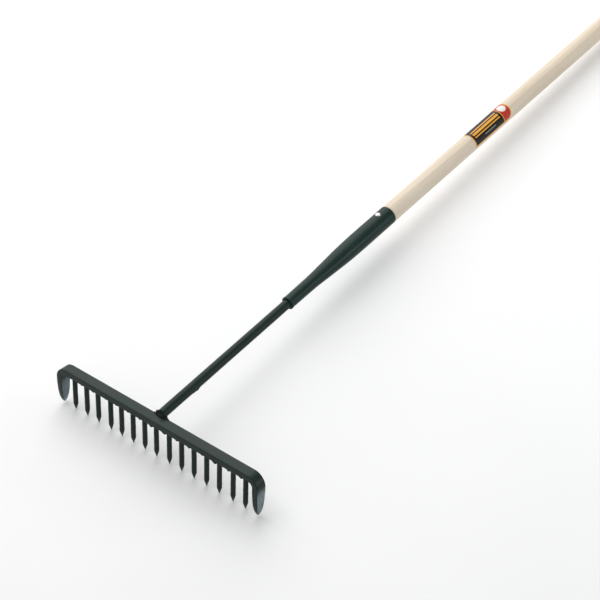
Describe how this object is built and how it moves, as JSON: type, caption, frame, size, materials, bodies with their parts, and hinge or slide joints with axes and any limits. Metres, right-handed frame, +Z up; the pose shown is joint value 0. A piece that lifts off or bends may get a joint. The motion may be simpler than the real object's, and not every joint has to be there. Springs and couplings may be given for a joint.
{
  "type": "levelling rake",
  "caption": "Heavy levelling rake: a flat steel bar with round tines, end prongs bent from the bar, a straight solid shank, a riveted tube socket and a long ash handle.",
  "frame": {"origin": "on the ground under the middle of the rake's length and width, with the rake lying on its tine points and the end of its handle", "axes": "+X along the bar, from the left to the right end prong as seen with the handle pointing away; +Y from the head to the free end of the handle; +Z up from the ground"},
  "size_m": [0.4174, 1.7908, 0.0859],
  "materials": {
    "bar_paint": "dark green-black gloss paint",
    "tine_paint": "dark green-black gloss paint, points a little worn",
    "weld_paint": "lumpy weld under the same paint",
    "shank_paint": "dark green-black gloss paint",
    "socket_paint": "dark green-black gloss paint with fine scratches",
    "rivet_metal": "bright domed rivet",
    "ash_wood": "smooth pale ash, clear finish",
    "label_film": "printed film, plain blocks of black, gold and red"
  },
  "bodies": {
    "root": {"head_bar": "bar_paint", "tine_01": "tine_paint", "tine_02": "tine_paint", "tine_03": "tine_paint", "tine_04": "tine_paint", "tine_05": "tine_paint", "tine_06": "tine_paint", "tine_07": "tine_paint", "tine_08": "tine_paint", "tine_09": "tine_paint", "tine_10": "tine_paint", "tine_11": "tine_paint", "tine_12": "tine_paint", "tine_13": "tine_paint", "tine_14": "tine_paint", "tine_15": "tine_paint", "tine_welds": "weld_paint", "shank": "shank_paint", "shank_weld": "weld_paint", "socket": "socket_paint", "rivet": "rivet_metal", "handle": "ash_wood", "label": "label_film"}
  },
  "joints": []
}
